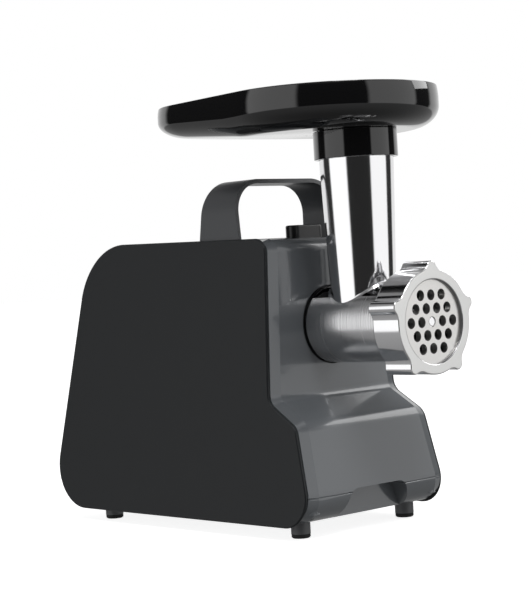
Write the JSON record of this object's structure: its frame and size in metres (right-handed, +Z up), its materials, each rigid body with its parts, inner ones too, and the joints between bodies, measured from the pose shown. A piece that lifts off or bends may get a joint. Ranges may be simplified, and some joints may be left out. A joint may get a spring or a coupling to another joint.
{
  "type": "electric meat grinder",
  "caption": "Kitchen electric meat grinder: charcoal housing with black side panels, polished grinding head with ring nut and plate, black tray on a hopper tube, arched carrying handle.",
  "frame": {"origin": "on the worktop, under the middle of the bounding box", "axes": "+Z up, -Y the way the grinding head points, X across the machine"},
  "size_m": [0.158, 0.3513, 0.3162],
  "materials": {
    "charcoal_plastic": "glossy charcoal",
    "base_plastic": "glossy charcoal",
    "matte_black_plastic": "fine matte",
    "handle_plastic": "satin charcoal",
    "foot_plastic": "matte",
    "pad_rubber": "matte rubber",
    "polished_casting": "polished",
    "plate_steel": "satin ground",
    "auger_casting": "satin casting",
    "bush_brass": "turned",
    "gloss_black_plastic": "piano gloss",
    "button_plastic": "satin",
    "gear_plastic": "natural nylon",
    "gear_steel": "machined",
    "gearbox_plastic": "glass-filled plastic",
    "bracket_aluminium": "die cast",
    "screw_steel": "zinc plated",
    "copper_winding": "enamelled copper wire",
    "carbon": "pressed carbon",
    "board_laminate": "coated laminate",
    "capacitor_plastic": "moulded",
    "gland_rubber": "soft rubber"
  },
  "bodies": {
    "base": {"upper_housing": "charcoal_plastic", "base_pan": "base_plastic", "right_side_panel": "matte_black_plastic", "left_side_panel": "matte_black_plastic", "carry_handle": "handle_plastic", "foot_1": "foot_plastic", "foot_2": "foot_plastic", "foot_3": "foot_plastic", "foot_4": "foot_plastic", "foot_pad_1": "pad_rubber", "foot_pad_2": "pad_rubber", "foot_pad_3": "pad_rubber", "foot_pad_4": "pad_rubber", "output_bush": "bush_brass", "front_motor_bearing": "bush_brass", "rear_motor_bearing": "bush_brass", "switch_frame": "button_plastic", "second_gear_pin": "gear_steel", "first_gear_pin": "gear_steel", "motor_stator": "gear_steel", "motor_bolts": "gear_steel", "gearbox_case": "gearbox_plastic", "gearbox_cover": "gearbox_plastic", "barrel_socket": "gearbox_plastic", "motor_cradle": "gearbox_plastic", "brush_holders": "gearbox_plastic", "front_motor_bracket": "bracket_aluminium", "rear_motor_bracket": "bracket_aluminium", "gearbox_screws": "screw_steel", "latch_spring": "screw_steel", "board_screws": "screw_steel", "handle_screws": "screw_steel", "case_screws": "screw_steel", "field_coils": "copper_winding", "carbon_brushes": "carbon", "control_board": "board_laminate", "suppression_capacitor": "capacitor_plastic", "cord_gland": "gland_rubber"},
    "release": {"release_button": "button_plastic", "latch_yoke": "button_plastic"},
    "motor_rotor": {"armature": "gear_steel", "motor_fan": "gearbox_plastic"},
    "first_wheel": {"first_gear": "gear_steel"},
    "second_wheel": {"second_gear": "gear_steel"},
    "output_wheel": {"output_gear": "gear_plastic"},
    "head": {"grinding_head": "polished_casting", "auger_bush": "bush_brass"},
    "auger_body": {"auger": "auger_casting", "cutting_blade": "plate_steel"},
    "plate": {"grinding_plate": "plate_steel"},
    "nut": {"ring_nut": "polished_casting"},
    "food_tray": {"tray": "gloss_black_plastic"},
    "rocker": {"power_rocker": "button_plastic"}
  },
  "joints": [
    {"name": "motor_spin", "type": "hinge", "parent": "base", "child": "motor_rotor", "pos_m": [0, 0, 0.06254], "axis": [0, -1, 0], "continuous": true},
    {"name": "first_gear_spin", "type": "hinge", "parent": "base", "child": "first_wheel", "pos_m": [-0.0119, 0, 0.09598], "axis": [0, -1, 0], "continuous": true},
    {"name": "second_gear_spin", "type": "hinge", "parent": "base", "child": "second_wheel", "pos_m": [0.02275, 0, 0.1086], "axis": [0, -1, 0], "continuous": true},
    {"name": "output_spin", "type": "hinge", "parent": "base", "child": "output_wheel", "pos_m": [0, 0, 0.148], "axis": [0, -1, 0], "continuous": true},
    {"name": "head_slide", "type": "slide", "parent": "base", "child": "head", "axis": [0, -1, 0], "range_m": [0, 0.12]},
    {"name": "auger_spin", "type": "hinge", "parent": "head", "child": "auger_body", "pos_m": [0, 0, 0.148], "axis": [0, -1, 0], "continuous": true},
    {"name": "plate_slide", "type": "slide", "parent": "head", "child": "plate", "axis": [0, -1, 0], "range_m": [0, 0.0075]},
    {"name": "nut_turn", "type": "hinge", "parent": "plate", "child": "nut", "pos_m": [0, 0, 0.148], "axis": [0, -1, 0], "range_deg": [0, 1080]},
    {"name": "tray_lift", "type": "slide", "parent": "head", "child": "food_tray", "axis": [0, 0, 1], "range_m": [0, 0.12]},
    {"name": "release_press", "type": "slide", "parent": "base", "child": "release", "axis": [0, 0, -1], "range_m": [0, 0.0045], "stiffness_N_per_m": 900, "springref_m": -0.002, "deforming": ["latch_spring"]},
    {"name": "rocker_tilt", "type": "hinge", "parent": "base", "child": "rocker", "pos_m": [0, 0.15052, 0.12661], "axis": [-1, 0, 0], "range_deg": [-12, 12]}
  ],
  "couplings": [
    {"joint": "first_gear_spin", "follows": "motor_spin", "ratio": -0.18333},
    {"joint": "second_gear_spin", "follows": "motor_spin", "ratio": 0.042014},
    {"joint": "output_spin", "follows": "motor_spin", "ratio": -0.012604},
    {"joint": "auger_spin", "follows": "motor_spin", "ratio": -0.012604},
    {"joint": "plate_slide", "follows": "nut_turn", "m_per_rad": 0.00039789}
  ]
}
